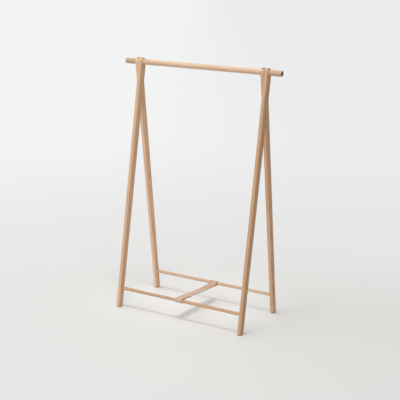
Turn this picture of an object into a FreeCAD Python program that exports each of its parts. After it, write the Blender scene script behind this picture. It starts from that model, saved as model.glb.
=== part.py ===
"""Folding clothes rack in ash: two leg frames turn on the hanging rod and a leather strap holds them open.

Lengths are in millimetres. The origin is on the floor under the middle of the rod. +X runs along the rod,
+Y towards the rear feet and +Z up. The rear frame is the front frame turned half a turn about Z.
"""
import FreeCAD
import Part
import Sketcher
import math
import os
import re

from FreeCAD import Placement, Rotation, Vector

# Driving sizes.
SIZES = {
    "rod_stub": 82.85,
    "rod_diameter": 34,
    "rod_end_round": 5,
    "rod_height": 1525,
    "pair_spacing": 877,
    "foot_spread": 464,
    "leg_thickness": 22,
    "leg_foot_width": 39,
    "leg_rounding": 3,
    "head_wall": 8,
    "washer_thickness": 3,
    "washer_ring": 4.5,
    "washer_play": 0.3,
    "bar_diameter": 20,
    "bar_height": 120,
    "tenon_diameter": 14,
    "socket_wall": 8,
    "glue_gap": 0.05,
    "running_gap": 0.08,
    "pin_diameter": 6,
    "rod_pin_depth": 12,
    "groove_depth": 4,
    "groove_play": 0.3,
    "pad_thickness": 3,
    "pad_inset": 3,
    "pad_corner": 4,
    "strap_width": 52,
    "strap_thickness": 3.2,
    "strap_clearance": 0.3,
    "strap_offset": 2,
    "strap_join": 22,
    "strap_bend": 14,
    "strap_overlap": 80,
}

# Sizes that follow from the driving ones, as formulas of the same sheet.
FORMULAS = {
    "lean_angle": "atan(foot_spread / 2 / rod_height)",
    "leg_reach": "(rod_height - pad_thickness) / cos(lean_angle)",
    "foot_slant": "leg_foot_width / 2 * tan(lean_angle)",
    "head_radius": "rod_diameter / 2 + head_wall",
    "leg_step": "(leg_thickness + washer_thickness + washer_play) / 2",
    "outer_leg": "pair_spacing / 2 + leg_step",
    "inner_leg": "pair_spacing / 2 - leg_step",
    "rod_length": "2 * (outer_leg + leg_thickness / 2 + rod_stub)",
    "bar_length": "pair_spacing - leg_thickness",
    "tenon_length": "leg_thickness - socket_wall - glue_gap",
    "bar_reach": "(rod_height - bar_height) / cos(lean_angle)",
    "bar_offset": "foot_spread / 2 * (1 - bar_height / rod_height)",
    "foot_offset": "foot_spread / 2 * (1 - pad_thickness / rod_height)",
    "pad_length": "leg_foot_width / cos(lean_angle) - 2 * pad_inset",
    "pad_width": "leg_thickness - 2 * pad_inset",
}

FULL_TURN = 360
HALF_TURN = 180
X_AXIS = Vector(1, 0, 0)
Z_AXIS = Vector(0, 0, 1)
# Turns a new outline or a tilted sketch off the axes until its sizes are set.
START_TURN = 10
# Faces whose directions agree more than this meet smoothly.
SMOOTH_COSINE = 0.9
SIZE_NAME = re.compile("[a-z]+(_[a-z]+)+")

doc = FreeCAD.newDocument("ClothesRack")
parts = []


def make_sheet():
    """The spreadsheet that holds every size, with the name of each size as its alias."""
    sheet = doc.addObject("Spreadsheet::Sheet", "Sizes")
    cells = {name: str(value) for name, value in SIZES.items()}
    cells.update({name: "=" + formula for name, formula in FORMULAS.items()})
    for row, (name, content) in enumerate(cells.items(), start=1):
        sheet.set("A%d" % row, name)
        sheet.set("B%d" % row, content)
        sheet.setAlias("B%d" % row, name)
    doc.recompute()
    return sheet


sheet = make_sheet()


def size(name):
    """One size as a plain number, for shapes and places that are worked out here."""
    value = sheet.get(name)
    return float(getattr(value, "Value", value))


def bind(target, prop, formula):
    """Ties a property to the sheet. The formula names each size without the sheet's own name."""
    target.setExpression(prop, SIZE_NAME.sub(lambda found: "Sizes." + found.group(), formula))


def new_body(name, place):
    """An empty body with its own label and place."""
    body = doc.addObject("PartDesign::Body", name)
    body.Label = name
    body.Placement = place
    parts.append(body)
    return body


def new_sketch(body, name, role, lift=None, tilt=None):
    """A sketch on one of the body's own origin planes, lifted off it or tilted about its X by a formula."""
    plane = next(item for item in body.Origin.OriginFeatures if item.Role == role)
    sketch = body.newObject("Sketcher::SketchObject", name)
    sketch.AttachmentSupport = [(plane, "")]
    sketch.MapMode = "FlatFace"
    if lift:
        bind(sketch, "AttachmentOffset.Base.z", lift)
    if tilt:
        sketch.AttachmentOffset = Placement(Vector(), Rotation(X_AXIS, START_TURN))
        bind(sketch, "AttachmentOffset.Rotation.Angle", tilt)
    return sketch


def set_distance(sketch, kind, geometry, point, start, formula):
    """One distance from the sketch's origin, tied to the sheet."""
    number = sketch.addConstraint(Sketcher.Constraint(kind, -1, 1, geometry, point, start))
    bind(sketch, "Constraints[%d]" % number, formula)


def add_outline(sketch, corners):
    """A closed outline of straight sides. Each corner is a pair of formulas from the sketch's origin."""
    first = sketch.GeometryCount
    count = len(corners)
    turns = [START_TURN + FULL_TURN * index / count for index in range(count)]
    starts = [Rotation(Z_AXIS, turn).multVec(X_AXIS) for turn in turns]
    for index in range(count):
        sketch.addGeometry(Part.LineSegment(starts[index], starts[(index + 1) % count]))
    for index in range(count):
        following = first + (index + 1) % count
        sketch.addConstraint(Sketcher.Constraint("Coincident", first + index, 2, following, 1))
    for index, (across, along) in enumerate(corners):
        set_distance(sketch, "DistanceX", first + index, 1, starts[index].x, across)
        set_distance(sketch, "DistanceY", first + index, 1, starts[index].y, along)


def add_circle(sketch, diameter, across=None, along=None):
    """A circle about the sketch's origin, or moved from it along one sketch axis by a formula."""
    start = Vector(1 if across else 0, 1 if along else 0, 0)
    number = sketch.addGeometry(Part.Circle(start, Z_AXIS, 1))
    if across:
        sketch.addConstraint(Sketcher.Constraint("PointOnObject", number, 3, -1))
        set_distance(sketch, "DistanceX", number, 3, 1, across)
    elif along:
        sketch.addConstraint(Sketcher.Constraint("PointOnObject", number, 3, -2))
        set_distance(sketch, "DistanceY", number, 3, 1, along)
    else:
        sketch.addConstraint(Sketcher.Constraint("Coincident", number, 3, -1, 1))
    constraint = sketch.addConstraint(Sketcher.Constraint("Diameter", number, 2))
    bind(sketch, "Constraints[%d]" % constraint, diameter)


def add_pad(body, name, sketch, length, symmetric=False):
    """A pad of a sketch, to both sides of it where symmetric."""
    pad = body.newObject("PartDesign::Pad", name)
    pad.Profile = sketch
    if symmetric:
        pad.SideType = "Symmetric"
    bind(pad, "Length", length)
    doc.recompute()
    return pad


def add_pocket(body, name, sketch, length, symmetric=False, reverse=False):
    """A pocket that has to take wood away: one that cuts nothing stops the build."""
    before = body.Shape.Volume
    pocket = body.newObject("PartDesign::Pocket", name)
    pocket.Profile = sketch
    pocket.Reversed = reverse
    if symmetric:
        pocket.SideType = "Symmetric"
    bind(pocket, "Length", length)
    doc.recompute()
    if not body.Shape.Volume < before:
        raise RuntimeError("%s of %s cuts nothing" % (name, body.Label))
    return pocket


def add_fillet(body, base, edges, radius):
    """Rounds the numbered edges of a feature."""
    fillet = body.newObject("PartDesign::Fillet", "Rounding")
    fillet.Base = (base, ["Edge%d" % number for number in edges])
    bind(fillet, "Radius", radius)
    doc.recompute()
    return fillet


def circular_edges(shape):
    """The numbers of a shape's full circles."""
    return [number for number, edge in enumerate(shape.Edges, start=1) if edge.isClosed()]


def sharp_edges(shape):
    """The numbers of the edges where two faces meet at a corner, not smoothly."""
    numbers = []
    for number, edge in enumerate(shape.Edges, start=1):
        middle = edge.valueAt((edge.FirstParameter + edge.LastParameter) / 2)
        faces = shape.ancestorsOfType(edge, Part.Face)
        normals = [face.normalAt(*face.Surface.parameter(middle)) for face in faces]
        if abs(normals[0].dot(normals[1])) < SMOOTH_COSINE:
            numbers.append(number)
    return numbers


def make_rod():
    """The hanging rod: a plain dowel with grooves for the guide pins and seats for the rod pins."""
    body = new_body("hanging_rod", Placement(Vector(0, 0, size("rod_height")), Rotation()))
    section = new_sketch(body, "RodSection", "YZ_Plane")
    add_circle(section, "rod_diameter")
    rod = add_pad(body, "Rod", section, "rod_length", symmetric=True)
    add_fillet(body, rod, circular_edges(rod.Shape), "rod_end_round")
    grooves = new_sketch(body, "GrooveSections", "XZ_Plane")
    floor = "rod_diameter / 2 - groove_depth"
    brim = "rod_diameter / 2 + groove_depth"
    for middle in ("- inner_leg", "outer_leg"):
        low = middle + " - pin_diameter / 2 - groove_play"
        high = middle + " + pin_diameter / 2 + groove_play"
        add_outline(grooves, [(low, floor), (high, floor), (high, brim), (low, brim)])
    before = body.Shape.Volume
    groove = body.newObject("PartDesign::Groove", "GuideGrooves")
    groove.Profile = grooves
    groove.ReferenceAxis = (grooves, ["H_Axis"])
    groove.Angle = FULL_TURN
    doc.recompute()
    if not body.Shape.Volume < before:
        raise RuntimeError("the guide grooves cut nothing")
    seats = new_sketch(body, "PinSeats", "XY_Plane", lift="rod_diameter / 2")
    for middle in ("- outer_leg", "inner_leg"):
        add_circle(seats, "pin_diameter + 2 * glue_gap", across=middle)
    add_pocket(body, "PinSeatHoles", seats, "rod_pin_depth")


def add_leg_outline(sketch, near, far):
    """A leg's outline: a foot cut level with the floor, straight sides and a round head about the rod."""
    half_foot = size("leg_foot_width") / 2
    reach = size("leg_reach")
    radius = size("head_radius")
    foot_corners = [Vector(-half_foot, -reach, 0), Vector(half_foot, -reach, 0)]
    head_ends = [Vector(-radius, 0, 0), Vector(radius, 0, 0)]
    foot, right_side, head, left_side = range(4)
    sketch.addGeometry(Part.LineSegment(*foot_corners))
    sketch.addGeometry(Part.LineSegment(foot_corners[1], head_ends[1]))
    sketch.addGeometry(Part.ArcOfCircle(Part.Circle(Vector(), Z_AXIS, radius), 0, math.pi))
    sketch.addGeometry(Part.LineSegment(head_ends[0], foot_corners[0]))
    sketch.addConstraint(Sketcher.Constraint("Coincident", foot, 2, right_side, 1))
    sketch.addConstraint(Sketcher.Constraint("Tangent", right_side, 2, head, 1))
    sketch.addConstraint(Sketcher.Constraint("Tangent", head, 2, left_side, 1))
    sketch.addConstraint(Sketcher.Constraint("Coincident", left_side, 2, foot, 1))
    sketch.addConstraint(Sketcher.Constraint("Coincident", head, 3, -1, 1))
    number = sketch.addConstraint(Sketcher.Constraint("Radius", head, radius))
    bind(sketch, "Constraints[%d]" % number, "head_radius")
    for point, sign, slant in ((1, "-", far), (2, "+", near)):
        corner = foot_corners[point - 1]
        set_distance(sketch, "DistanceX", foot, point, corner.x, sign + " leg_foot_width / 2")
        set_distance(sketch, "DistanceY", foot, point, corner.y, "- leg_reach %s foot_slant" % slant)


def make_leg(name, middle, lean, socket_side, rod_gap):
    """One leg in its own frame: the rod's axis is its origin and its Z runs up the leg."""
    turn = Rotation(X_AXIS, lean * size("lean_angle"))
    body = new_body(name, Placement(Vector(middle, 0, size("rod_height")), turn))
    outline = new_sketch(body, "LegOutline", "YZ_Plane")
    near, far = ("-", "+") if lean > 0 else ("+", "-")
    add_leg_outline(outline, near, far)
    blank = add_pad(body, "Leg", outline, "leg_thickness", symmetric=True)
    add_fillet(body, blank, sharp_edges(blank.Shape), "leg_rounding")
    rod_hole = new_sketch(body, "RodHole", "YZ_Plane")
    add_circle(rod_hole, "rod_diameter + 2 * " + rod_gap)
    add_pocket(body, "RodHoleThrough", rod_hole, "2 * leg_thickness", symmetric=True)
    side = "leg_thickness / 2" if socket_side > 0 else "- leg_thickness / 2"
    socket = new_sketch(body, "BarSocket", "YZ_Plane", lift=side)
    add_circle(socket, "tenon_diameter + 2 * glue_gap", along="- bar_reach")
    add_pocket(body, "BarSocketHole", socket, "leg_thickness - socket_wall", reverse=socket_side < 0)
    pin_hole = new_sketch(body, "PinHole", "XY_Plane", tilt=near + " lean_angle")
    add_circle(pin_hole, "pin_diameter + 2 * glue_gap")
    add_pocket(body, "PinHoleUp", pin_hole, "2 * head_radius", reverse=True)


def make_bar(name, middle, offset):
    """A lower bar with a shouldered round tenon at each end."""
    body = new_body(name, Placement(Vector(middle, offset, size("bar_height")), Rotation()))
    section = new_sketch(body, "BarSection", "YZ_Plane")
    add_circle(section, "bar_diameter")
    add_pad(body, "Bar", section, "bar_length", symmetric=True)
    tenon = new_sketch(body, "TenonSection", "YZ_Plane")
    add_circle(tenon, "tenon_diameter")
    add_pad(body, "Tenons", tenon, "bar_length + 2 * tenon_length", symmetric=True)


def make_washer(name, start):
    """A flat ring on the rod, against the inner leg or the outer leg of the rear frame."""
    body = new_body(name, Placement(Vector(start, 0, size("rod_height")), Rotation()))
    ring = new_sketch(body, "Ring", "YZ_Plane")
    add_circle(ring, "rod_diameter + 2 * washer_ring")
    add_circle(ring, "rod_diameter + 2 * running_gap")
    add_pad(body, "Washer", ring, "washer_thickness")


def make_pin(name, middle, length):
    """A wooden pin straight down the middle of a leg's head, flush with the top of the leg."""
    body = new_body(name, Placement(Vector(middle, 0, size("rod_height")), Rotation()))
    section = new_sketch(body, "PinSection", "XY_Plane", lift="head_radius - (%s)" % length)
    add_circle(section, "pin_diameter")
    add_pad(body, "Pin", section, length)


def make_pad(name, middle, offset):
    """A felt pad under a foot, set in from the edges of the wood."""
    body = new_body(name, Placement(Vector(middle, offset, 0), Rotation()))
    outline = new_sketch(body, "PadOutline", "XY_Plane")
    add_outline(outline, [
        ("- pad_width / 2", "- pad_length / 2"),
        ("pad_width / 2", "- pad_length / 2"),
        ("pad_width / 2", "pad_length / 2"),
        ("- pad_width / 2", "pad_length / 2"),
    ])
    blank = add_pad(body, "Pad", outline, "pad_thickness")
    upright = [
        number for number, edge in enumerate(blank.Shape.Edges, start=1)
        if abs(edge.Vertexes[0].Z - edge.Vertexes[-1].Z) > size("pad_thickness") / 2
    ]
    add_fillet(body, blank, upright, "pad_corner")


class StrapLine:
    """The strap's section in the plane across the bars, laid out along its middle line.

    The middle line leaves the top of the front bar, passes midway between the bars and reaches the underside
    of the rear bar. Each end goes round its bar and comes back against the strap, where it is sewn down.
    Points are along and above that line, measured from the front bar's centre."""

    def __init__(self):
        self.thickness = size("strap_thickness")
        self.loop = size("bar_diameter") / 2 + size("strap_clearance") + self.thickness / 2
        self.slope = -math.asin(self.loop / size("bar_offset"))
        self.span = 2 * size("bar_offset") * math.cos(self.slope)
        self.centre = Vector(0, -size("bar_offset"), size("bar_height"))

    def point(self, along, above):
        """A point of the section in the rack's own frame."""
        turned = Rotation(X_AXIS, math.degrees(self.slope)).multVec(Vector(0, along, above))
        return self.centre + turned

    def plate(self, start, end):
        """A straight stretch of strap between two points of its middle line."""
        run = Vector(end[0] - start[0], end[1] - start[1], 0)
        side = Vector(-run.y, run.x, 0).normalize() * (self.thickness / 2)
        corners = [
            self.point(start[0] + side.x, start[1] + side.y),
            self.point(end[0] + side.x, end[1] + side.y),
            self.point(end[0] - side.x, end[1] - side.y),
            self.point(start[0] - side.x, start[1] - side.y),
        ]
        return Part.Face(Part.makePolygon(corners + corners[:1]))

    def curve(self, centre, radius, start, end):
        """A bent stretch of strap about a centre, between two angles in radians."""
        def arc(reach):
            places = [
                self.point(centre[0] + reach * math.cos(angle), centre[1] + reach * math.sin(angle))
                for angle in (start, (start + end) / 2, end)
            ]
            return Part.Arc(*places)

        outer = arc(radius + self.thickness / 2)
        inner = arc(radius - self.thickness / 2)
        ends = [
            Part.LineSegment(outer.StartPoint, inner.StartPoint),
            Part.LineSegment(outer.EndPoint, inner.EndPoint),
        ]
        edges = [curve.toShape() for curve in (outer, ends[1], inner, ends[0])]
        return Part.Face(Part.Wire(Part.__sortEdges__(edges)))

    def half(self):
        """The front loop, its closing bend and its sewn end, and the front half of the strap."""
        bend = size("strap_bend")
        tail = self.loop - self.thickness
        hub = (size("bar_diameter") / 2 + size("strap_join"), tail - bend)
        reach = math.hypot(*hub)
        facing = math.atan2(hub[1], hub[0])
        leave = facing - math.acos((self.loop + bend) / reach)
        touch = leave + math.pi
        quarter = math.pi / 2
        stops = [quarter, 2 * quarter, 3 * quarter, 4 * quarter + leave]
        round_bar = zip(stops, stops[1:])
        pieces = [self.curve((0, 0), self.loop, start, end) for start, end in round_bar]
        pieces.append(self.plate(
            (self.loop * math.cos(leave), self.loop * math.sin(leave)),
            (hub[0] + bend * math.cos(touch), hub[1] + bend * math.sin(touch)),
        ))
        pieces.append(self.curve(hub, bend, touch, math.pi / 2))
        pieces.append(self.plate((hub[0], tail), (hub[0] + size("strap_overlap"), tail)))
        pieces.append(self.plate((0, self.loop), (self.span / 2, self.loop)))
        return pieces


def make_strap():
    """The leather strap: one strip, sewn into a loop round each lower bar."""
    front = StrapLine().half()
    middle = Vector(0, 0, size("bar_height"))
    rear = [piece.copy() for piece in front]
    for piece in rear:
        piece.rotate(middle, X_AXIS, HALF_TURN)
    width = size("strap_width")
    stretches = [piece.extrude(X_AXIS * width) for piece in front + rear]
    strap = doc.addObject("Part::Feature", "leather_strap")
    strap.Label = "leather_strap"
    strap.Shape = stretches[0].fuse(stretches[1:]).removeSplitter()
    strap.Placement = Placement(Vector(size("strap_offset") - width / 2, 0, 0), Rotation())
    parts.append(strap)


def build():
    """Every piece of the rack, frame by frame."""
    outer = size("outer_leg")
    inner = size("inner_leg")
    step = size("leg_step")
    bar_offset = size("bar_offset")
    foot_offset = size("foot_offset")
    make_rod()
    make_leg("front_left_leg", -inner, -1, 1, "running_gap")
    make_leg("front_right_leg", outer, -1, -1, "running_gap")
    make_leg("rear_left_leg", -outer, 1, 1, "glue_gap")
    make_leg("rear_right_leg", inner, 1, -1, "glue_gap")
    make_bar("front_lower_bar", step, -bar_offset)
    make_bar("rear_lower_bar", -step, bar_offset)
    make_washer("left_spacer_washer", -outer + size("leg_thickness") / 2)
    make_washer("right_spacer_washer", inner + size("leg_thickness") / 2)
    make_pin("rear_left_rod_pin", -outer, "head_wall + rod_pin_depth")
    make_pin("rear_right_rod_pin", inner, "head_wall + rod_pin_depth")
    make_pin("front_left_guide_pin", -inner, "head_wall + groove_depth - groove_play")
    make_pin("front_right_guide_pin", outer, "head_wall + groove_depth - groove_play")
    make_pad("front_left_foot_pad", -inner, -foot_offset)
    make_pad("front_right_foot_pad", outer, -foot_offset)
    make_pad("rear_left_foot_pad", -outer, foot_offset)
    make_pad("rear_right_foot_pad", inner, foot_offset)
    make_strap()


def check():
    """Stops the build where any object failed or any piece is empty or broken."""
    doc.recompute()
    for item in doc.Objects:
        if "Invalid" in item.State or "Error" in item.State:
            raise RuntimeError("%s failed: %s" % (item.Label, item.State))
    for part in parts:
        if part.Shape.isNull() or not part.Shape.isValid() or len(part.Shape.Solids) != 1:
            raise RuntimeError("%s is not one sound solid" % part.Label)


def write():
    """One file for each piece, named after it."""
    os.makedirs("parts", exist_ok=True)
    for part in parts:
        part.Shape.exportStep(os.path.join("parts", part.Label + ".step"))


build()
check()
write()
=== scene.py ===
"""Looks of a folding clothes rack: ash legs, rod and bars, and a leather strap sewn round the lower bars.

Lengths are in metres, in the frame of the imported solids: +X along the rod, +Y to the rear feet, +Z up.
"""

import math

import bmesh
import bpy
from mathutils import Euler, Matrix, Vector


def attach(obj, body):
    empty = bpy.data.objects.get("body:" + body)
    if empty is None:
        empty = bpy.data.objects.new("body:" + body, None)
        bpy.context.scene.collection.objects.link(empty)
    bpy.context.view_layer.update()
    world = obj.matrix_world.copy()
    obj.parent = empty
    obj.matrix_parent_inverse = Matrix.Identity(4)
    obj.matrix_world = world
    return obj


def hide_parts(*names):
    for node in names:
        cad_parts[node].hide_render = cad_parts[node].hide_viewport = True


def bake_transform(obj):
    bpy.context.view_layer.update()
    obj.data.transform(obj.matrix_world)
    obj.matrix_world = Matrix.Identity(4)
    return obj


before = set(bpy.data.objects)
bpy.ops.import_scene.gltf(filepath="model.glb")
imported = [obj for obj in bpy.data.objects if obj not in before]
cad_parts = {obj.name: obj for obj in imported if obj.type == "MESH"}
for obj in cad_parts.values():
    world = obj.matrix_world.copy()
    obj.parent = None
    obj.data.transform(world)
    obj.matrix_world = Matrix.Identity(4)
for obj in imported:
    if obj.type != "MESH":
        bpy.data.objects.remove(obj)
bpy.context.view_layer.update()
scene = bpy.context.scene

IMAGE_SIDE = 400

# Sizes that the pieces made here take over from the solids.
ROD_HEIGHT = 1.525
FOOT_SPREAD = 0.464
PAIR_SPACING = 0.877
LEG_STEP = 0.01265
LEG_THICKNESS = 0.022
LEG_FOOT_WIDTH = 0.039
BAR_HEIGHT = 0.120
BAR_RADIUS = 0.010
PAD_THICKNESS = 0.003
PAD_INSET = 0.003
PAD_CORNER = 0.004
STRAP_WIDTH = 0.052
STRAP_THICKNESS = 0.0032
STRAP_CLEARANCE = 0.0003
STRAP_JOIN = 0.022
STRAP_BEND = 0.014
STRAP_OVERLAP = 0.080
LEAN = math.atan(FOOT_SPREAD / 2 / ROD_HEIGHT)
BAR_OFFSET = FOOT_SPREAD / 2 * (1 - BAR_HEIGHT / ROD_HEIGHT)
FOOT_OFFSET = FOOT_SPREAD / 2 * (1 - PAD_THICKNESS / ROD_HEIGHT)
OUTER_LEG = PAIR_SPACING / 2 + LEG_STEP
INNER_LEG = PAIR_SPACING / 2 - LEG_STEP

# How the strap lies, and how its edges and tails are cut.
STRAP_SAG = 0.0035
STRAP_FRONT = 0.008
STRAP_REAR = 0.0
STRAP_EDGE_ROUND = 0.0007
STRAP_TAIL_CORNER = 0.006
STRAP_SKIVE = 0.014
STRAP_TAIL_THICKNESS = 0.0016
STRAP_STEP = 0.0015
# Which of the strap's finishes each side of its section has.
GRAIN_SIDE, CUT_EDGE, FLESH_SIDE = range(3)


def linear(red, green, blue):
    """A colour given in 0 to 255 display steps, as the shader wants it."""
    def channel(step):
        share = step / 255
        return share / 12.92 if share <= 0.04045 else ((share + 0.055) / 1.055) ** 2.4
    return (channel(red), channel(green), channel(blue), 1.0)


class Finish:
    """Writes the nodes of one material, or of the world."""

    def __init__(self, name=None, world=None):
        self.material = world or bpy.data.materials.new(name)
        self.material.use_nodes = True
        self.tree = self.material.node_tree
        self.shader = self.tree.nodes.get("Principled BSDF")
        self.output = self.tree.nodes["World Output" if world else "Material Output"]

    def feed(self, socket, value):
        """Links a socket to a socket, or sets its plain value."""
        if isinstance(value, bpy.types.NodeSocket):
            self.tree.links.new(value, socket)
        else:
            socket.default_value = value

    def add(self, kind, inputs, **settings):
        """A node with its settings, and its inputs by name or by number."""
        made = self.tree.nodes.new("ShaderNode" + kind)
        for name, value in settings.items():
            setattr(made, name, value)
        for key, value in inputs.items():
            self.feed(made.inputs[key], value)
        return made

    def math(self, operation, first, second=0.0, third=0.0):
        """One sum on numbers."""
        return self.add("Math", {0: first, 1: second, 2: third}, operation=operation).outputs[0]

    def vector(self, operation, first, second=(0.0, 0.0, 0.0)):
        """One sum on vectors, as the node."""
        return self.add("VectorMath", {0: first, 1: second}, operation=operation)

    def scaled(self, vector, scale):
        """A vector times a scale along each of its axes."""
        return self.vector("MULTIPLY", vector, scale).outputs[0]

    def noise(self, vector, detail=2.0, roughness=0.5):
        """Smooth noise over a vector that is already to scale, as the node."""
        inputs = {"Vector": vector, "Scale": 1.0, "Detail": detail, "Roughness": roughness}
        return self.add("TexNoise", inputs)

    def between(self, value, low, high, start=0.0, end=1.0):
        """A value taken smoothly from one range to another."""
        inputs = {"Value": value, "From Min": low, "From Max": high, "To Min": start, "To Max": end}
        return self.add("MapRange", inputs, interpolation_type="SMOOTHSTEP").outputs[0]

    def mix(self, share, first, second, blend="MIX"):
        """Two colours mixed."""
        made = self.add("Mix", {}, data_type="RGBA", blend_type=blend)
        self.feed(made.inputs[0], share)
        self.feed(made.inputs[6], first)
        self.feed(made.inputs[7], second)
        return made.outputs[2]

    def ramp(self, value, stops):
        """A colour from a value, through stops of place and colour."""
        made = self.add("ValToRGB", {"Fac": value})
        elements = made.color_ramp.elements
        while len(elements) < len(stops):
            elements.new(0.5)
        for element, (place, colour) in zip(elements, stops):
            element.position = place
            element.color = colour
        return made.outputs["Color"]

    def split(self, vector):
        """The three numbers of a vector."""
        return self.add("SeparateXYZ", {0: vector}).outputs

    def bump(self, height, distance, strength=1.0, normal=None):
        """A bumped normal."""
        inputs = {"Height": height, "Distance": distance, "Strength": strength}
        if normal is not None:
            inputs["Normal"] = normal
        return self.add("Bump", inputs).outputs[0]

    def seen_plainly(self):
        """One for what the camera sees straight, through glass or in a mirror, and nought for other light."""
        path = self.add("LightPath", {}).outputs
        glass = self.math("MAXIMUM", path["Is Transmission Ray"], path["Is Glossy Ray"])
        return self.math("MAXIMUM", path["Is Camera Ray"], glass)

    def surface(self, **inputs):
        """Sets the shader's sockets. An underscore stands for a space in a socket's name."""
        for name, value in inputs.items():
            self.feed(self.shader.inputs[name.replace("_", " ")], value)


def ash(name, turn, middle, pith, slope, start, dark_ends=None):
    """Ash wood whose grain runs along Z after a turn, with growth rings round a pith beside the piece.

    Past the distance from the middle that dark_ends gives, the wood is darker."""
    wood = Finish("ash_" + name)
    tint, tone = BOARDS[name]
    spots = wood.add("TexCoord", {})
    turned = turn.to_matrix() @ Vector(middle)
    place = wood.add("Mapping", {
        "Vector": spots.outputs["Object"],
        "Location": -turned,
        "Rotation": turn,
    }).outputs[0]
    facing = wood.add("Mapping", {"Vector": spots.outputs["Normal"], "Rotation": turn}).outputs[0]
    grain = wood.vector("ADD", place, (0.0, 0.0, start)).outputs[0]

    waves = wood.noise(wood.scaled(grain, WAVES), detail=3.0)
    centred = wood.vector("SUBTRACT", waves.outputs["Color"], (0.5, 0.5, 0.5)).outputs[0]
    sway = wood.scaled(centred, SWAY)
    depth = wood.split(place)[2]
    drift = wood.add("CombineXYZ", {
        0: wood.math("MULTIPLY", depth, slope[0]),
        1: wood.math("MULTIPLY", depth, slope[1]),
    }).outputs[0]
    bent = wood.vector("ADD", wood.vector("ADD", place, sway).outputs[0], drift).outputs[0]
    across = wood.scaled(bent, (1.0, 1.0, 0.0))
    reach = wood.vector("DISTANCE", across, (pith[0], pith[1], 0.0)).outputs["Value"]
    rings = wood.math("DIVIDE", reach, RING_WIDTH)
    ring = wood.math("FRACT", rings)
    number = wood.math("FLOOR", rings)
    year = wood.add("TexWhiteNoise", {"W": number}, noise_dimensions="1D").outputs["Value"]

    fibre = wood.noise(wood.scaled(grain, FIBRES), detail=3.0).outputs["Fac"]
    strand = wood.noise(wood.scaled(grain, STRANDS), detail=3.0).outputs["Fac"]
    cloud = wood.noise(wood.scaled(grain, CLOUDS), detail=2.0).outputs["Fac"]
    vessel = wood.noise(wood.scaled(grain, VESSELS), detail=1.0).outputs["Fac"]

    pale = linear(*tint[0])
    middling = linear(*tint[1])
    deep = linear(*tint[2])
    tones = [(0.0, middling), (0.08, deep), (0.30, middling), (0.62, pale), (1.0, middling)]
    colour = wood.ramp(ring, tones)
    colour = wood.mix(wood.between(year, 0.0, 1.0, 0.0, 0.55), colour, middling)
    colour = wood.mix(wood.between(cloud, 0.35, 0.7, 0.0, 0.35), colour, linear(*tint[3]))
    streak = wood.between(strand, 0.35, 0.65, 0.90, 1.05)
    thread = wood.between(fibre, 0.3, 0.7, 0.94, 1.04)
    shade = wood.math("MULTIPLY", wood.math("MULTIPLY", streak, thread), tone)
    early = wood.between(wood.math("ABSOLUTE", wood.math("SUBTRACT", ring, 0.12)), 0.06, 0.22, 1.0, 0.0)
    pore = wood.math("MULTIPLY", wood.between(vessel, 0.56, 0.66), early)
    open_pore = wood.math("SUBTRACT", 1.0, wood.math("MULTIPLY", pore, PORE_SHADE))
    shade = wood.math("MULTIPLY", shade, open_pore)
    if dark_ends:
        outward = wood.math("ABSOLUTE", depth)
        end_darkening = wood.between(outward, dark_ends, dark_ends + END_DARKNESS_FADE, 1.0, END_DARKNESS)
        shade = wood.math("MULTIPLY", shade, end_darkening)
    grey = wood.add("CombineColor", {0: shade, 1: shade, 2: shade}).outputs[0]
    colour = wood.mix(1.0, colour, grey, blend="MULTIPLY")
    end = wood.between(wood.math("ABSOLUTE", wood.split(facing)[2]), 0.75, 0.97)
    colour = wood.mix(end, colour, wood.mix(1.0, colour, linear(*END_GRAIN), blend="MULTIPLY"))

    relief = wood.math("SUBTRACT", wood.math("MULTIPLY", fibre, 0.5), pore)
    wood.surface(
        Base_Color=colour,
        Roughness=wood.between(wood.math("ADD", strand, pore), 0.2, 1.4, 0.58, 0.78),
        Normal=wood.bump(relief, 0.00025, 0.35),
        Specular_IOR_Level=0.22,
    )
    return wood.material


# How wide a year's ring is, and how far it sways across the grain.
RING_WIDTH = 0.0034
SWAY = (0.016, 0.016, 0.0)
# How often the wood's marks come in a metre, across the grain both ways and along it.
WAVES = (7.0, 7.0, 1.7)
FIBRES = (1500.0, 1500.0, 26.0)
STRANDS = (260.0, 260.0, 5.0)
CLOUDS = (14.0, 14.0, 3.2)
VESSELS = (3200.0, 3200.0, 110.0)
# How much a pore darkens the wood, and the tint that darkens end grain.
PORE_SHADE = 0.42
END_GRAIN = (160, 138, 119)
# How dark the rod's ends are past the legs, and how far that fades in.
END_DARKNESS = 0.80
END_DARKNESS_FADE = 0.02
# Tints of ash: the light and the middle of the late wood, the early wood and a cloud.
ASH_PALE = [(228, 199, 172), (219, 187, 159), (195, 159, 128), (213, 178, 152)]
ASH_GOLD = [(235, 198, 163), (227, 186, 150), (202, 157, 118), (220, 176, 142)]
ASH_WARM = [(232, 194, 158), (223, 181, 145), (198, 152, 113), (225, 177, 141)]
ASH_RUDDY = [(232, 192, 153), (223, 179, 141), (199, 150, 109), (225, 175, 136)]
ASH_GREY = [(235, 199, 166), (226, 187, 152), (204, 160, 122), (219, 178, 144)]
# Each board's tints and how light it is.
BOARDS = {
    "front_left_leg": (ASH_GOLD, 1.0),
    "front_right_leg": (ASH_RUDDY, 0.88),
    "rear_left_leg": (ASH_GREY, 1.18),
    "rear_right_leg": (ASH_WARM, 0.98),
    "hanging_rod": (ASH_PALE, 1.02),
    "front_lower_bar": (ASH_WARM, 0.84),
    "rear_lower_bar": (ASH_PALE, 0.99),
    "rear_left_rod_pin": (ASH_WARM, 0.9),
    "rear_right_rod_pin": (ASH_WARM, 0.9),
    "front_left_guide_pin": (ASH_WARM, 0.9),
    "front_right_guide_pin": (ASH_WARM, 0.9),
}


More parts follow.
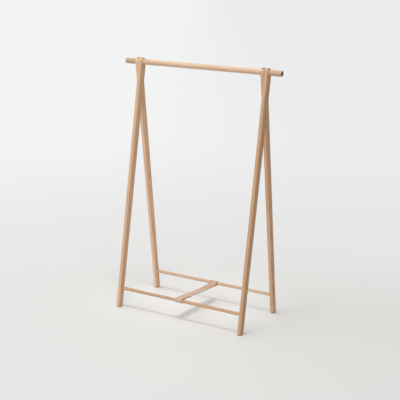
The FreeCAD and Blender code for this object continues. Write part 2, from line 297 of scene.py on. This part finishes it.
def dress_wood():
    """Each wooden piece gets its own board of ash, with the grain along it.

    No two boards have their pith, the slope of their grain and its start in the same place."""
    upright = {
        "front_left_leg": (-INNER_LEG, -1),
        "front_right_leg": (OUTER_LEG, -1),
        "rear_left_leg": (-OUTER_LEG, 1),
        "rear_right_leg": (INNER_LEG, 1),
    }
    for index, (name, (middle, lean)) in enumerate(upright.items()):
        turn = Euler((-lean * LEAN, 0.0, 0.0))
        side = (-1) ** index
        pith = (side * 0.055, 0.035 - 0.022 * index)
        slope = (side * 0.012, 0.008 + 0.003 * index)
        start = 2.3 * index
        paint(name, ash(name, turn, (middle, 0.0, ROD_HEIGHT), pith, slope, start))
    level = {
        "hanging_rod": (0.0, 0.0, ROD_HEIGHT),
        "front_lower_bar": (LEG_STEP, -BAR_OFFSET, BAR_HEIGHT),
        "rear_lower_bar": (-LEG_STEP, BAR_OFFSET, BAR_HEIGHT),
    }
    for index, (name, middle) in enumerate(level.items()):
        turn = Euler((0.0, -math.pi / 2, 0.0))
        pith = (0.030 + 0.008 * index, 0.022 - 0.030 * index)
        slope = (0.010, -0.006)
        start = 11.0 + 3.1 * index
        dark_ends = OUTER_LEG if name == "hanging_rod" else None
        paint(name, ash(name, turn, middle, pith, slope, start, dark_ends))
    pins = {
        "rear_left_rod_pin": -OUTER_LEG,
        "rear_right_rod_pin": INNER_LEG,
        "front_left_guide_pin": -INNER_LEG,
        "front_right_guide_pin": OUTER_LEG,
    }
    for index, (name, middle) in enumerate(pins.items()):
        pith = (0.02, 0.01)
        slope = (0.0, 0.0)
        start = 21.0 + index
        paint(name, ash(name, Euler(), (middle, 0.0, ROD_HEIGHT), pith, slope, start))


def paint(name, material):
    """Gives a solid one material in place of its own."""
    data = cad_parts[name].data
    data.materials.clear()
    data.materials.append(material)


def nylon():
    """Nylon, slightly mottled, in a tan darker than natural nylon as painted shade for the slit between the
    leg heads.
    """
    plastic = Finish("washer_nylon")
    spots = plastic.add("TexCoord", {}).outputs["Object"]
    haze = plastic.noise(plastic.scaled(spots, (220.0, 220.0, 220.0)), detail=3.0).outputs["Fac"]
    grain = plastic.noise(plastic.scaled(spots, (2500.0, 2500.0, 2500.0))).outputs["Fac"]
    plastic.surface(
        # Painted shade: the washer's colour is darkened for the shaded slit between the leg heads.
        Base_Color=plastic.mix(haze, linear(190, 172, 150), linear(172, 154, 132)),
        Roughness=plastic.between(haze, 0.3, 0.7, 0.38, 0.5),
        Normal=plastic.bump(grain, 0.0001, 0.2),
    )
    return plastic.material


def felt():
    """Dark wool felt with matted fibres."""
    wool = Finish("pad_felt")
    spots = wool.add("TexCoord", {}).outputs["Object"]
    warp = wool.noise(wool.scaled(spots, (900.0, 900.0, 900.0)), detail=2.0).outputs["Color"]
    fine = wool.scaled(spots, (2600.0, 2600.0, 2600.0))
    bent = wool.vector("ADD", fine, wool.scaled(warp, (4.0, 4.0, 4.0))).outputs[0]
    fuzz = wool.noise(bent, detail=4.0, roughness=0.7).outputs["Fac"]
    tones = [(0.25, linear(74, 62, 54)), (0.55, linear(98, 84, 74)), (0.8, linear(128, 112, 100))]
    wool.surface(
        Base_Color=wool.ramp(fuzz, tones),
        Roughness=0.95,
        Normal=wool.bump(fuzz, 0.0006, 0.7),
        Sheen_Weight=0.4,
    )
    return wool.material


def grain_leather():
    """The grain side of the leather: a fine pebble, soft clouds of colour, flecks and creases."""
    hide = Finish("strap_grain_side")
    spots = hide.add("TexCoord", {}).outputs["Object"]
    cloud = hide.noise(hide.scaled(spots, (28.0, 18.0, 28.0)), detail=4.0).outputs["Fac"]
    fleck = hide.noise(hide.scaled(spots, (420.0, 420.0, 420.0)), detail=3.0).outputs["Fac"]
    pebble = hide.add("TexVoronoi", {"Vector": hide.scaled(spots, (1150.0, 1150.0, 1150.0)), "Scale": 1.0})
    cell = hide.between(pebble.outputs["Distance"], 0.25, 0.75, 1.0, 0.0)
    crease = hide.noise(hide.scaled(spots, (40.0, 260.0, 120.0)), detail=3.0).outputs["Fac"]
    light, dark, flecked = linear(216, 186, 164), linear(205, 172, 149), linear(160, 118, 92)
    colour = hide.mix(hide.between(cloud, 0.3, 0.7), light, dark)
    colour = hide.mix(hide.between(fleck, 0.62, 0.74, 0.0, 0.18), colour, flecked)
    height = hide.math("ADD", hide.math("MULTIPLY", cell, 0.6), hide.math("MULTIPLY", crease, 0.5))
    hide.surface(
        Base_Color=colour,
        Roughness=hide.between(fleck, 0.2, 0.8, 0.5, 0.64),
        Normal=hide.bump(height, 0.0003, 0.35),
        Specular_IOR_Level=0.35,
    )
    return hide.material


def flesh_leather():
    """The flesh side of the leather: a little darker than the grain side, with a short matted nap."""
    hide = Finish("strap_flesh_side")
    spots = hide.add("TexCoord", {}).outputs["Object"]
    cloud = hide.noise(hide.scaled(spots, (45.0, 30.0, 45.0)), detail=4.0).outputs["Fac"]
    nap = hide.noise(hide.scaled(spots, (1900.0, 700.0, 1900.0)), detail=4.0, roughness=0.65).outputs["Fac"]
    light, dark, matted = linear(214, 182, 158), linear(202, 168, 143), linear(174, 138, 112)
    colour = hide.mix(hide.between(cloud, 0.3, 0.7), light, dark)
    colour = hide.mix(hide.between(nap, 0.35, 0.7, 0.0, 0.3), colour, matted)
    hide.surface(
        Base_Color=colour,
        Roughness=0.85,
        Normal=hide.bump(nap, 0.0004, 0.5),
        Specular_IOR_Level=0.25,
        Sheen_Weight=0.15,
    )
    return hide.material


def cut_leather():
    """The cut edge of the leather, rubbed smooth, with its fibres in layers."""
    hide = Finish("strap_cut_edge")
    spots = hide.add("TexCoord", {}).outputs["Object"]
    layer = hide.noise(hide.scaled(spots, (900.0, 120.0, 2600.0)), detail=3.0).outputs["Fac"]
    patch = hide.noise(hide.scaled(spots, (60.0, 45.0, 60.0)), detail=3.0).outputs["Fac"]
    light, dark, layered = linear(200, 162, 136), linear(184, 145, 119), linear(150, 110, 85)
    colour = hide.mix(hide.between(patch, 0.3, 0.7), light, dark)
    colour = hide.mix(hide.between(layer, 0.45, 0.7, 0.0, 0.4), colour, layered)
    hide.surface(
        Base_Color=colour,
        Roughness=hide.between(layer, 0.3, 0.7, 0.38, 0.55),
        Normal=hide.bump(layer, 0.0002, 0.3),
    )
    return hide.material


def waxed_thread():
    """Twisted linen thread, waxed."""
    line = Finish("waxed_thread")
    spots = line.add("TexCoord", {}).outputs["Object"]
    inputs = {"Vector": spots, "Scale": 900.0, "Distortion": 0.6}
    twist = line.add("TexWave", inputs, bands_direction="DIAGONAL").outputs["Fac"]
    line.surface(
        Base_Color=line.mix(twist, linear(196, 160, 128), linear(224, 194, 164)),
        Roughness=0.55,
        Normal=line.bump(twist, 0.0002, 0.5),
    )
    return line.material


class StrapLine:
    """The strap's middle line across the bars: over the front bar, down to the underside of the rear bar.

    Points are along and above that line, measured from the front bar's centre, as in the solid."""

    def __init__(self):
        self.loop = BAR_RADIUS + STRAP_CLEARANCE + STRAP_THICKNESS / 2
        self.slope = -math.asin(self.loop / BAR_OFFSET)
        self.span = 2 * BAR_OFFSET * math.cos(self.slope)
        self.tail = self.loop - STRAP_THICKNESS
        self.hub = Vector((BAR_RADIUS + STRAP_JOIN, self.tail - STRAP_BEND))

    def half(self):
        """From the sewn end under the strap, round the front bar, to the middle of the strap."""
        leave = math.atan2(self.hub.y, self.hub.x) - math.acos((self.loop + STRAP_BEND) / self.hub.length)
        points = run((self.hub.x + STRAP_OVERLAP, self.tail), (self.hub.x, self.tail))
        points += arc(self.hub, STRAP_BEND, math.pi / 2, leave + math.pi)
        points += run(points[-1], self.loop * Vector((math.cos(leave), math.sin(leave))))
        points += arc(Vector((0.0, 0.0)), self.loop, leave, -3 * math.pi / 2)
        points += run((0.0, self.loop), (self.span / 2, self.loop))
        return thinned(points)

    def turned(self, point):
        """The same place on the rear half, which is the front half turned half a turn."""
        return Vector((self.span - point.x, 2 * self.loop - point.y))

    def whole(self):
        """The middle line from the front tail's end to the rear tail's end."""
        front = self.half()
        rear = [self.turned(point) for point in front]
        return front + rear[-2::-1]

    def place(self, point):
        """A point of the line in the rack's frame, with the strap's sag and its slant across the rack."""
        share = min(max(point.x / self.span, 0.0), 1.0)
        above = point.y - STRAP_SAG * math.sin(math.pi * share) ** 2
        return Vector((
            STRAP_FRONT + (STRAP_REAR - STRAP_FRONT) * share,
            -BAR_OFFSET + point.x * math.cos(self.slope) - above * math.sin(self.slope),
            BAR_HEIGHT + point.x * math.sin(self.slope) + above * math.cos(self.slope),
        ))


def run(start, end):
    """Points along a straight run of strap."""
    start, end = Vector(start), Vector(end)
    count = max(2, round((end - start).length / STRAP_STEP))
    return [start.lerp(end, index / count) for index in range(count + 1)]


def arc(centre, radius, start, end):
    """Points along a bend of strap."""
    count = max(6, round(abs(end - start) * radius / STRAP_STEP))
    angles = [start + (end - start) * index / count for index in range(count + 1)]
    return [centre + radius * Vector((math.cos(angle), math.sin(angle))) for angle in angles]


def thinned(points):
    """The points without repeats."""
    same_place = 1e-5
    kept = points[:1]
    for point in points[1:]:
        if (point - kept[-1]).length > same_place:
            kept.append(point)
    return kept


def strap_section(half_width, half_thickness, cells=10, corner_cells=3):
    """The strap's section round from its lower left corner: the place across and through it, and the finish
    of the side that starts there."""
    rounding = min(STRAP_EDGE_ROUND, half_thickness)
    across = half_width - rounding
    through = half_thickness - rounding
    places = []
    for side, finish in ((1, FLESH_SIDE), (-1, GRAIN_SIDE)):
        for index in range(cells):
            places.append((side * across * (2 * index / cells - 1), -side * half_thickness, finish))
        for corner in (-1, 1):
            hub = Vector((side * across, side * corner * through))
            first = -side * math.pi / 2 + (corner + 1) * math.pi / 4
            for index in range(corner_cells + (corner < 0)):
                angle = first + math.pi / 2 * index / corner_cells
                spot = hub + rounding * Vector((math.cos(angle), math.sin(angle)))
                places.append((spot.x, spot.y, CUT_EDGE))
    return places


def tube_faces(first, rows, sides):
    """The faces of a closed tube whose points come row by row, with a flat face on each end."""
    faces = []
    for row in range(rows - 1):
        low = first + row * sides
        high = low + sides
        for column in range(sides):
            after = (column + 1) % sides
            faces.append((low + column, low + after, high + after, high + column))
    last = first + (rows - 1) * sides
    faces.append(tuple(reversed(range(first, first + sides))))
    faces.append(tuple(range(last, last + sides)))
    return faces


def new_object(name, points, faces, material):
    """A smooth mesh object with one material."""
    data = bpy.data.meshes.new(name)
    data.from_pydata(points, [], faces)
    data.materials.append(material)
    data.polygons.foreach_set("use_smooth", [True] * len(faces))
    made = bpy.data.objects.new(name, data)
    scene.collection.objects.link(made)
    return made


def make_strap(line):
    """The strap as one strip of leather with rounded cut edges and thinned tail ends."""
    middle = line.whole()
    lengths = [0.0]
    for before, after in zip(middle, middle[1:]):
        lengths.append(lengths[-1] + (after - before).length)
    points = []
    for index, spot in enumerate(middle):
        ahead = middle[min(index + 1, len(middle) - 1)] - middle[max(index - 1, 0)]
        side = Vector((-ahead.y, ahead.x)).normalized()
        to_end = min(lengths[index], lengths[-1] - lengths[index])
        hold = max(STRAP_TAIL_CORNER - to_end, 0.0)
        half_width = STRAP_WIDTH / 2 - STRAP_TAIL_CORNER + math.sqrt(STRAP_TAIL_CORNER ** 2 - hold ** 2)
        share = min(to_end / STRAP_SKIVE, 1.0)
        half_thickness = (STRAP_TAIL_THICKNESS + (STRAP_THICKNESS - STRAP_TAIL_THICKNESS) * share) / 2
        lean = half_thickness - STRAP_THICKNESS / 2
        if index > len(middle) / 2:
            lean = -lean
        ring = strap_section(half_width, half_thickness)
        for across, through, _ in ring:
            points.append(line.place(spot + side * (through + lean)) + Vector((across, 0.0, 0.0)))
    faces = tube_faces(0, len(middle), len(ring))
    finishes = [finish for _, _, finish in ring] * (len(middle) - 1) + [CUT_EDGE, CUT_EDGE]
    strap = new_object("strap", points, faces, grain_leather())
    strap.data.materials.append(cut_leather())
    strap.data.materials.append(flesh_leather())
    strap.data.polygons.foreach_set("material_index", finishes)
    return strap, lengths[-1]


def stitch_ends(line):
    """Both ends of each stitch of the front seam, a box of stitches through the strap and its tail."""
    length = 0.0036
    pitch = 0.0050
    inset = 0.0055
    from_bend = 0.004
    from_tail_end = 0.012
    near = line.hub.x + from_bend
    far = line.hub.x + STRAP_OVERLAP - from_tail_end
    wide = STRAP_WIDTH / 2 - inset
    ends = []
    for corner, other in (
        ((near, -wide), (far, -wide)), ((far, -wide), (far, wide)),
        ((far, wide), (near, wide)), ((near, wide), (near, -wide)),
    ):
        start, end = Vector(corner), Vector(other)
        count = round((end - start).length / pitch)
        for index in range(count):
            middle = start.lerp(end, (index + 0.5) / count)
            reach = (end - start).normalized() * length / 2
            ends.append((middle - reach, middle + reach))
    return ends


def make_thread(line):
    """The stitches of both seams, on the upper and the lower face of the leather."""
    radius = 0.00042
    sides = 8
    # How far along a stitch, and how thick it is there.
    profile = [(0.0, 0.25), (0.12, 0.8), (0.3, 1.0), (0.7, 1.0), (0.88, 0.8), (1.0, 0.25)]
    upper = line.loop + STRAP_THICKNESS / 2
    lower = line.tail - STRAP_THICKNESS / 2
    points = []
    faces = []
    for start, end in stitch_ends(line):
        for height in (upper, lower):
            for rear in (False, True):
                places = []
                for spot in (start, end):
                    flat = Vector((spot.x, height))
                    flat = line.turned(flat) if rear else flat
                    places.append(line.place(flat) + Vector((spot.y, 0.0, 0.0)))
                along = (places[1] - places[0]).normalized()
                wide = along.cross(Vector((0.0, 0.0, 1.0))).normalized()
                tall = wide.cross(along)
                first = len(points)
                for share, girth in profile:
                    centre = places[0].lerp(places[1], share)
                    for index in range(sides):
                        angle = 2 * math.pi * index / sides
                        outward = wide * math.cos(angle) + tall * math.sin(angle)
                        points.append(centre + outward * radius * girth)
                faces += tube_faces(first, len(profile), sides)
    return new_object("strap_thread", points, faces, waxed_thread())


def dress_strap():
    """Puts the sewn leather strap in place of its solid."""
    line = StrapLine()
    strap, length = make_strap(line)
    thread = make_thread(line)
    for piece in (strap, thread):
        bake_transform(piece)
    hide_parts("leather_strap")


def make_pad(name, middle):
    """A felt pad with soft edges under one foot."""
    wide = LEG_THICKNESS / 2 - PAD_INSET
    long = LEG_FOOT_WIDTH / math.cos(LEAN) / 2 - PAD_INSET
    corner_cells = 6
    # The height of each layer, and how far the soft edge draws in there.
    layers = [
        (0.0, 0.0007), (0.0003, 0.0002), (0.0008, 0.0),
        (0.0023, 0.0), (0.0028, 0.0002), (PAD_THICKNESS, 0.0006),
    ]
    points = []
    for height, inset in layers:
        for quarter in range(4):
            turn = quarter * math.pi / 2
            sign = Vector((math.cos(turn + math.pi / 4), math.sin(turn + math.pi / 4)))
            hub = Vector((math.copysign(wide - PAD_CORNER, sign.x), math.copysign(long - PAD_CORNER, sign.y)))
            for index in range(corner_cells + 1):
                angle = turn + math.pi / 2 * index / corner_cells
                spot = hub + (PAD_CORNER - inset) * Vector((math.cos(angle), math.sin(angle)))
                points.append((middle[0] + spot.x, middle[1] + spot.y, height))
    faces = tube_faces(0, len(layers), 4 * (corner_cells + 1))
    return new_object(name + "_felt", points, faces, felt())


def dress_pads():
    """A soft felt pad in place of each pad's solid."""
    feet = {
        "front_left_foot_pad": (-INNER_LEG, -FOOT_OFFSET),
        "front_right_foot_pad": (OUTER_LEG, -FOOT_OFFSET),
        "rear_left_foot_pad": (-OUTER_LEG, FOOT_OFFSET),
        "rear_right_foot_pad": (INNER_LEG, FOOT_OFFSET),
    }
    for name, middle in feet.items():
        pad = make_pad(name, middle)
        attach(pad, name.split("_")[0] + "_frame")
        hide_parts(name)


def set_up_light():
    """A softbox overhead and a pale room: bright above the front left, dim on the right, faint behind."""
    softbox = bpy.data.lights.new("softbox", "AREA")
    softbox.shape = "DISK"
    softbox.size = 1.45
    softbox.energy = 69.0
    lamp = bpy.data.objects.new("softbox", softbox)
    lamp.location = (0.42, -1.05, 5.0)
    aim = Vector((0.0, 0.0, 0.1))
    lamp.rotation_euler = (aim - lamp.location).to_track_quat("-Z", "Y").to_euler()
    scene.collection.objects.link(lamp)

    world = bpy.data.worlds.new("studio")
    world.use_nodes = True
    scene.world = world
    room = Finish(world=world)
    direction = room.add("TexCoord", {}).outputs["Generated"]
    front_side = Vector((-0.46, -0.46, 0.76)).normalized()
    back_side = Vector((-0.30, 0.95, 0.20)).normalized()
    front_level, back_level, least_level = 1.29, 0.20, 0.03
    warm, white = (1.0, 0.80, 0.62, 1.0), (1.0, 1.0, 1.0, 1.0)
    front = room.vector("DOT_PRODUCT", direction, front_side).outputs["Value"]
    behind = room.vector("DOT_PRODUCT", direction, back_side).outputs["Value"]
    level = room.math("MULTIPLY_ADD", room.math("MAXIMUM", front, 0.0), front_level, least_level)
    level = room.math("MULTIPLY_ADD", room.math("MAXIMUM", behind, 0.0), back_level, level)
    hue = room.mix(room.between(front, 0.0, 0.5), warm, white)
    light = room.add("Background", {"Color": hue, "Strength": level}).outputs[0]
    backdrop = room.add("Background", {"Color": linear(240, 241, 241), "Strength": 1.0}).outputs[0]
    both = room.add("MixShader", {0: room.seen_plainly(), 1: light, 2: backdrop}).outputs[0]
    room.feed(room.output.inputs["Surface"], both)


def set_up_floor():
    """A wide pale floor with painted light: its colour is paler under and behind the rack and darker in front
    and to the right. Near the rack it takes light and shadow. Further off it is the plain backdrop.
    """
    data = bpy.data.meshes.new("floor")
    shape = bmesh.new()
    bmesh.ops.create_circle(shape, cap_ends=True, segments=96, radius=60.0)
    shape.to_mesh(data)
    shape.free()
    floor = bpy.data.objects.new("floor", data)
    scene.collection.objects.link(floor)
    paper = Finish("floor_paper")
    spots = paper.add("TexCoord", {}).outputs["Object"]
    to_right, to_front = (0.85, 0.53, 0.0), (0.53, -0.85, 0.0)
    painted_light_spot = (-0.1, 0.2, 0.0)
    away = paper.vector("LENGTH", spots).outputs["Value"]
    sideways = paper.vector("DOT_PRODUCT", spots, to_right).outputs["Value"]
    forward = paper.vector("DOT_PRODUCT", spots, to_front).outputs["Value"]
    # Painted light falloff: the floor's colour is lighter behind the rack and to the left, darker in front
    # and to the right.
    right = paper.between(sideways, -1.3, 1.7)
    ahead = paper.between(forward, -1.5, 0.3)
    behind_rack = paper.mix(right, linear(236, 237, 236), linear(231, 232, 231))
    before_rack = paper.mix(right, linear(229, 230, 229), linear(221, 222, 220))
    outside = paper.mix(ahead, behind_rack, before_rack)
    # A painted pool of light: the floor is paler round a spot under the rack, lifting the rack's own shade
    # there.
    beside = paper.vector("DISTANCE", spots, painted_light_spot).outputs["Value"]
    near = paper.mix(paper.between(beside, 0.2, 0.8), linear(239, 240, 239), outside)
    # The backdrop further off carries the same painted falloff, darker towards the front and the right.
    middle_behind = paper.mix(right, linear(232, 232, 231), linear(229, 229, 228))
    middle_before = paper.mix(right, linear(231, 231, 230), linear(222, 222, 220))
    middle = paper.mix(ahead, middle_behind, middle_before)
    distant = paper.mix(right, linear(243, 244, 244), linear(235, 236, 236))
    colour = paper.mix(paper.between(away, 1.0, 6.5), middle, distant)
    paper.surface(Base_Color=near, Roughness=0.9, Specular_IOR_Level=0.1)
    backdrop = paper.add("Emission", {"Color": colour, "Strength": 1.0}).outputs[0]
    share = paper.math("MULTIPLY", paper.between(away, 0.7, 2.0), paper.seen_plainly())
    both = paper.add("MixShader", {0: share, 1: paper.shader.outputs[0], 2: backdrop}).outputs[0]
    paper.feed(paper.output.inputs["Surface"], both)
    data.materials.append(paper.material)


def set_up_camera():
    """The photograph's view: a long lens from the front right, a little above."""
    focal = 1039.7
    distance = 6.386
    target = Vector((0.0093, 0.0051, 0.7086))
    yaw, pitch, roll = (math.radians(angle) for angle in (31.48, 13.44, 1.22))
    back = Vector((math.sin(yaw) * math.cos(pitch), -math.cos(yaw) * math.cos(pitch), math.sin(pitch)))
    right = (-back).cross(Vector((0, 0, 1))).normalized()
    up = right.cross(-back)
    across = right * math.cos(roll) + up * math.sin(roll)
    upward = -right * math.sin(roll) + up * math.cos(roll)
    data = bpy.data.cameras.new("view")
    data.sensor_width = 36.0
    data.lens = focal / IMAGE_SIDE * data.sensor_width
    camera = bpy.data.objects.new("view", data)
    spin = Matrix((across, upward, back)).transposed().to_4x4()
    camera.matrix_world = Matrix.Translation(target + back * distance) @ spin
    scene.collection.objects.link(camera)
    scene.camera = camera


scene.view_settings.view_transform = "Standard"
dress_wood()
for washer in ("left_spacer_washer", "right_spacer_washer"):
    paint(washer, nylon())
dress_strap()
dress_pads()
set_up_light()
set_up_floor()
set_up_camera()
